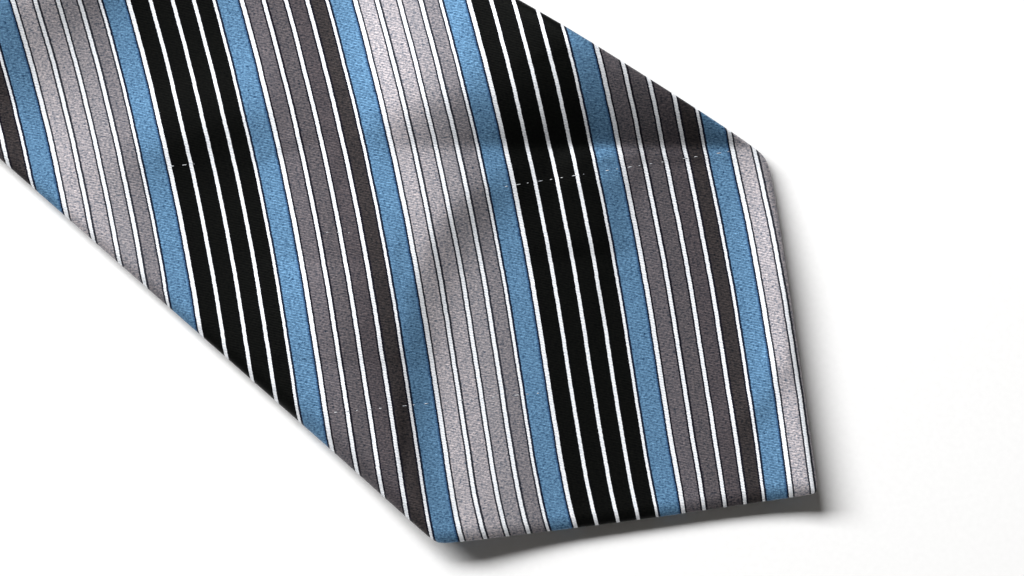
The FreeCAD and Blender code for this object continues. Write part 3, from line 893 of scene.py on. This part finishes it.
# where each patch starts and ends along the tie, then across it; and its back and its top
LOOP = (LOOP_ALONG - LOOP_BREADTH / 2, LOOP_ALONG + LOOP_BREADTH / 2, -LOOP_SPAN / 2, LOOP_SPAN / 2)
BRAND = (64.5, 79.5, -17.0, 17.0)
CARE = (84.0, 106.0, -5.5, 5.5)
LOOP_LEVELS, BRAND_LEVELS, CARE_LEVELS = (0.02, 0.42), (0.18, 0.56), (0.1, 0.3)
LOOP_SEWN_RISE = 0.25
BRAND_COLOURS = (linear(44, 60, 84), linear(190, 196, 204))
CARE_COLOURS = (linear(232, 232, 230), linear(150, 158, 170))


def make_back_details():
    loop = make_patch("self_keeper_loop", *LOOP, *LOOP_LEVELS, LOOP_SEWN_RISE)
    dress(loop, SILK)
    brand = make_patch("blank_label", *BRAND, *BRAND_LEVELS)
    dress(brand, woven_label("label_weave", *BRAND_COLOURS, *BRAND))
    care = make_patch("hanging_label", *CARE, *CARE_LEVELS)
    dress(care, woven_label("care_label_weave", *CARE_COLOURS, *CARE))
    for obj, body, node in ((loop, "blade", "keeper_loop"), (brand, "blade", "brand_label"),
                            (care, "care_label", "care_label")):
        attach(obj, body)
        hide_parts(node)


def row_of_stitches(name, rows, radius, heights, rise):
    """rows are pairs of (along, across) ends, one for each stitch."""
    cloth = Cloth(name)
    for ends in rows:
        add_stitch(cloth, ends, heights, radius, rise)
    return cloth.make()


SEWN_COUNT, SEWN_LENGTH = 5, 1.8
HEM_STITCHES = (16.0, 52.0, 4.0)         # from, to and pitch, along the tie
SEAM_STITCHES = (128.0, 1396.0, 7.0)
SEAM_STITCH = (1.6, 1.4)                 # along and across
TACK_COUNT, TACK_PITCH, TACK_SPAN = 8, 0.28, 3.0
JOINING_STITCH = (0.4, 1.6)              # along and across
JOINING_PITCH, JOINING_INSET = 2.4, 2.0
CARE_STITCH, CARE_PITCH, CARE_GAP = 1.2, 1.9, 0.6


def sewn_ends(start, end, low, high, inset):
    """A row of stitches along each end of a patch, at an inset from its edge."""
    places = np.linspace(start + SEWN_LENGTH, end - SEWN_LENGTH, SEWN_COUNT)
    return [((p - SEWN_LENGTH / 2, across), (p + SEWN_LENGTH / 2, across))
            for across in (low + inset, high - inset) for p in places]


def hem_rows():
    """Slanting stitches over the flaps' edges, from the tip to the corners."""
    rows = []
    for side in (-1, 1):
        for along in np.arange(*HEM_STITCHES):
            edge = float(flap_edge(np.array(along), side))
            rows.append(((along, edge + side * 0.5), (along + 1.2, edge - side * 0.9)))
    return rows


def seam_rows():
    """The slip stitch, slanting over the closed back seam."""
    length, half = SEAM_STITCH[0], SEAM_STITCH[1] / 2
    return [((p, -half), (p + length, half)) for p in np.arange(*SEAM_STITCHES)]


def tack_rows(along):
    """A few stitches side by side across the seam."""
    places = [along + TACK_PITCH * k for k in range(TACK_COUNT)]
    return [((p, -TACK_SPAN / 2), (p, TACK_SPAN / 2)) for p in places]


def joining_rows(along):
    """Stitches across the face at a joining seam."""
    low = float(low_edge(np.array(along))) + JOINING_INSET
    high = float(high_edge(np.array(along))) - JOINING_INSET
    half, breadth = JOINING_STITCH[0] / 2, JOINING_STITCH[1]
    return [((along - half, v), (along + half, v + breadth)) for v in np.arange(low, high, JOINING_PITCH)]


def care_rows():
    """One row beyond the end by which the hanging label is held."""
    along = CARE[1] + CARE_GAP
    return [((along, v), (along, v + CARE_STITCH)) for v in np.arange(-5.2, 4.5, CARE_PITCH)]


def make_threads():
    # name, body, node, thread, stitches, radius, height of both ends, rise of the middle
    plan = [
        ("label_threads", "blade", "brand_label_stitches", BLUE_THREAD,
         sewn_ends(*BRAND, 0.7), 0.14, (0.22, 0.22), -0.1),
        ("loop_threads", "blade", "keeper_loop_stitches", WHITE_THREAD,
         sewn_ends(*LOOP, 1.2), 0.16, (0.3, 0.3), -0.1),
        ("hem_threads", "blade", "blade_hem_stitches", BLUE_THREAD,
         hem_rows(), 0.13, (0.1, 0.5), -0.05),
        ("care_threads", "blade", "care_label_stitch", WHITE_THREAD,
         care_rows(), 0.14, (0.45, 0.45), -0.15),
        ("blade_tack", "blade", "blade_bar_tack", BLUE_THREAD,
         tack_rows(OPENING_APEX - 1.0), 0.16, (0.2, 0.2), -0.1),
        ("tail_tack", "roll", "tail_bar_tack", BLUE_THREAD,
         tack_rows(TAIL_APEX - 1.0), 0.16, (0.2, 0.2), -0.1),
        ("front_seam_threads", "roll", "front_joining_seam", BLUE_THREAD,
         joining_rows(FRONT_SEAM), 0.12, (2.7, 2.7), 0.1),
        ("rear_seam_threads", "roll", "rear_joining_seam", BLUE_THREAD,
         joining_rows(REAR_SEAM), 0.12, (2.7, 2.7), 0.1),
    ]
    for name, body, node, material, rows, radius, heights, rise in plan:
        obj = dress(row_of_stitches(name, rows, radius, heights, rise), material)
        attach(obj, body)
        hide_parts(node)
    slip = row_of_stitches("seam_threads", seam_rows(), 0.13, (0.3, 0.3), -0.15)
    dress(slip, BLUE_THREAD)
    bends(slip)
    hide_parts("blade_slip_stitch", "rolled_slip_stitch")


SPARE_ALONG, SPARE_REACH = 1420.0, 9.0      # the spare loop's middle, and half its length
SPARE_BREADTH = 2.6                         # half of it, but wider at one end
SPARE_LEVEL = 0.35
SPARE_RADIUS = 0.15


def make_reserve_loop():
    """The slip stitch's spare thread, a small flat loop in the tail's back opening."""
    cloth = Cloth("spare_thread_loop")
    turn = np.linspace(0.0, 2 * np.pi, 49)
    ring = np.linspace(0.0, 2 * np.pi, 7)
    along = SPARE_ALONG + SPARE_REACH * np.cos(turn)
    across = SPARE_BREADTH * np.sin(turn) * (1.15 - 0.4 * np.cos(turn))
    s = along[:, None] + SPARE_RADIUS * np.cos(turn)[:, None] * np.cos(ring)
    v = across[:, None] + SPARE_RADIUS * np.sin(turn)[:, None] * np.cos(ring)
    h = SPARE_LEVEL + SPARE_RADIUS * np.sin(ring)[None, :] + 0 * s
    cloth.grid(place(s, v, h), np.stack([s, v, h], axis=-1))
    obj = dress(cloth.make(), WHITE_THREAD)
    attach(obj, "roll")
    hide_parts("slip_stitch_reserve_loop")


# along, across of both ends of each line of faint pick stitches that shows in the face
PICK_LINES = [((133.1, -20.1), (126.9, -14.6)), ((102.5, -13.0), (96.5, -8.8)),
              ((81.5, -39.0), (51.5, -12.5)), ((80.7, 13.5), (48.8, 45.6))]
PICK_PITCH = 2.1
PICK_LENGTH, PICK_UNEVEN = 0.6, 0.35       # of a stitch that shows, and how much it varies
PICK_RADIUS = 0.065
PICK_SUNK, PICK_RISE = 0.01, 0.05          # of its ends into the face, and of its middle


def make_pick_stitches():
    cloth = Cloth("pick_stitches")
    for (s0, v0), (s1, v1) in PICK_LINES:
        length = math.hypot(s1 - s0, v1 - v0)
        for k in range(int(length / PICK_PITCH)):
            start = k * PICK_PITCH
            end = start + PICK_LENGTH + PICK_UNEVEN * math.sin(2.4 * k)
            shares = (start / length, end / length)
            ends = [(s0 + (s1 - s0) * t, v0 + (v1 - v0) * t) for t in shares]
            heights = [float(face_height(np.array(s), np.array(v))) - PICK_SUNK for s, v in ends]
            add_stitch(cloth, ends, heights, PICK_RADIUS, PICK_RISE)
    obj = dress(cloth.make(), WHITE_THREAD)
    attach(obj, "blade")


# ---- table, light and camera --------------------------------------------------------------
VIEW_ALONG, VIEW_ACROSS = 68.5, -0.9
VIEW_WIDTH = 190.8         # at the height of the face, from side to side of the view
CAMERA_HEIGHT = 600.0
SENSOR = 36.0
FLOOR_SIZE, FLOOR_Z = 6.0, -0.0003         # metres; just under the tie
KEY_SIZE = (1.4, 0.5)                      # metres
KEY_PLACE = (-825.0, 915.0, 1140.0)        # over, up, and above the table
KEY_ENERGY = 50.0
WORLD_COLOUR, WORLD_STRENGTH = (1.0, 0.95, 0.88, 1.0), 0.08


def on_table(over, up):
    """X and Y, in metres, of a step over and up from the middle of the view."""
    x = TIP_X - VIEW_ALONG + over * math.cos(DIAGONAL) - up * math.sin(DIAGONAL)
    y = VIEW_ACROSS + over * math.sin(DIAGONAL) + up * math.cos(DIAGONAL)
    return x * MM, y * MM


def make_stage():
    bpy.ops.mesh.primitive_plane_add(size=FLOOR_SIZE, location=(0.0, 0.0, FLOOR_Z))
    floor = bpy.context.object
    floor.name = "table"
    floor.data.materials.append(white_board())


def make_key_light():
    """A soft strip light that runs across the view and faces its middle."""
    data = bpy.data.lights.new("key", "AREA")
    data.shape = "RECTANGLE"
    data.size, data.size_y = KEY_SIZE
    data.energy = KEY_ENERGY
    lamp = bpy.data.objects.new("key", data)
    bpy.context.scene.collection.objects.link(lamp)
    over, up, height = KEY_PLACE
    x, y = on_table(over, up)
    aim_x, aim_y = on_table(0.0, 0.0)
    back = Vector((x - aim_x, y - aim_y, height * MM)).normalized()
    across_view = Vector((math.cos(DIAGONAL), math.sin(DIAGONAL), 0.0))
    side = (across_view - back * across_view.dot(back)).normalized()
    turn = Matrix((side, back.cross(side), back)).transposed()
    lamp.matrix_world = Matrix.Translation((x, y, height * MM)) @ turn.to_4x4()


def make_light():
    make_key_light()
    world = bpy.data.worlds.new("studio")
    bpy.context.scene.world = world
    world.use_nodes = True
    background = world.node_tree.nodes["Background"]
    background.inputs["Color"].default_value = WORLD_COLOUR
    background.inputs["Strength"].default_value = WORLD_STRENGTH
    bpy.context.scene.view_settings.view_transform = "Standard"


def make_camera():
    data = bpy.data.cameras.new("camera")
    data.sensor_width = SENSOR
    data.lens = SENSOR * (CAMERA_HEIGHT - THICKNESS) / VIEW_WIDTH
    camera = bpy.data.objects.new("camera", data)
    bpy.context.scene.collection.objects.link(camera)
    x, y = on_table(0.0, 0.0)
    camera.location = (x, y, CAMERA_HEIGHT * MM)
    camera.rotation_euler = (0.0, 0.0, DIAGONAL)
    bpy.context.scene.camera = camera


make_camera()
make_light()
make_stage()
make_shells()
make_interlinings()
make_tippings()
make_back_details()
make_threads()
make_reserve_loop()
make_pick_stitches()
